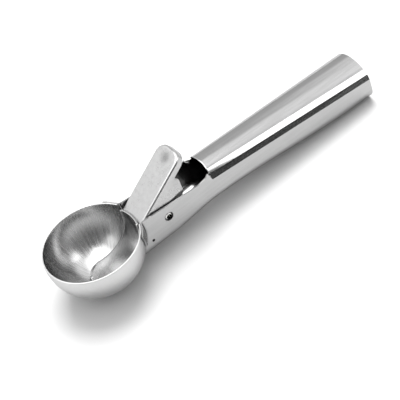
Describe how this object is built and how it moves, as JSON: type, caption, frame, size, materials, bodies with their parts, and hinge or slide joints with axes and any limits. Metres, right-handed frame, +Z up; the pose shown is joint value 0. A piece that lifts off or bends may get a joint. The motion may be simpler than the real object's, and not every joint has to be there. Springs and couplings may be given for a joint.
{
  "type": "lever ice cream scoop",
  "caption": "Sheet steel ice cream scoop: a ball bowl on a hollow handle, with a sprung thumb lever that sweeps a curved blade through the bowl to turn the ice cream out.",
  "frame": {"origin": "on the table, under the middle of the whole length and on the plane of symmetry", "axes": "+X from the bowl to the handle's end, +Y across, +Z up from the table"},
  "size_m": [0.2105, 0.056, 0.0519],
  "materials": {
    "spun_steel": "spun and polished",
    "brushed_steel": "brushed lengthways",
    "satin_steel": "satin",
    "pin_steel": "turned",
    "spring_steel": "drawn wire"
  },
  "bodies": {
    "scoop_frame": {"handle": "brushed_steel", "bowl": "spun_steel", "pivot_pin": "pin_steel", "spacer_sleeve": "pin_steel", "return_spring": "spring_steel", "end_cap": "brushed_steel"},
    "lever": {"thumb_lever": "satin_steel", "ejector_blade": "spun_steel"}
  },
  "joints": [
    {"name": "lever_pivot", "type": "hinge", "parent": "scoop_frame", "child": "lever", "pos_m": [-0.03525, 0, 0.0222], "axis": [0, 1, 0], "range_deg": [0, 30], "stiffness_Nm_per_rad": 0.15, "springref_deg": -34.38, "deforming": ["return_spring"]}
  ]
}
